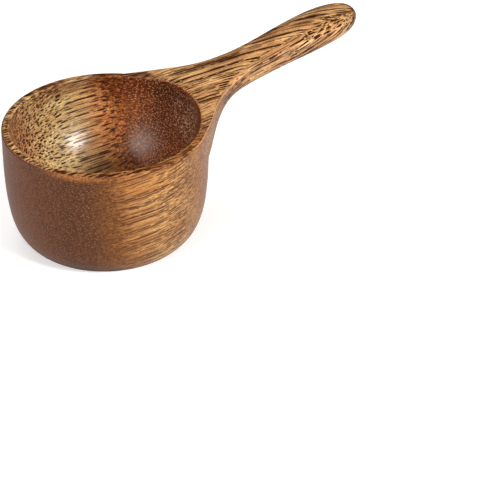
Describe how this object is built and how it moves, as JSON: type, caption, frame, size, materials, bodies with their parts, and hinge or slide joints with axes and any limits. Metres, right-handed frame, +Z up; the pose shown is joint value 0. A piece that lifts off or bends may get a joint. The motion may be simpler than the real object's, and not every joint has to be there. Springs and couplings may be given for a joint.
{
  "type": "wooden scoop",
  "caption": "Small one-piece wooden scoop with a deep oval bowl on a flat foot and a broad handle that rises from the rim.",
  "frame": {"origin": "centre of the flat foot under the bowl, on the surface it stands on", "axes": "+Z up, +X from the bowl along the handle to its tip, +Y across the handle"},
  "size_m": [0.1036, 0.0474, 0.0399],
  "materials": {
    "oiled_hardwood": "satin oiled hardwood with dark open pores along the handle"
  },
  "bodies": {
    "root": {"scoop": "oiled_hardwood"}
  },
  "joints": []
}
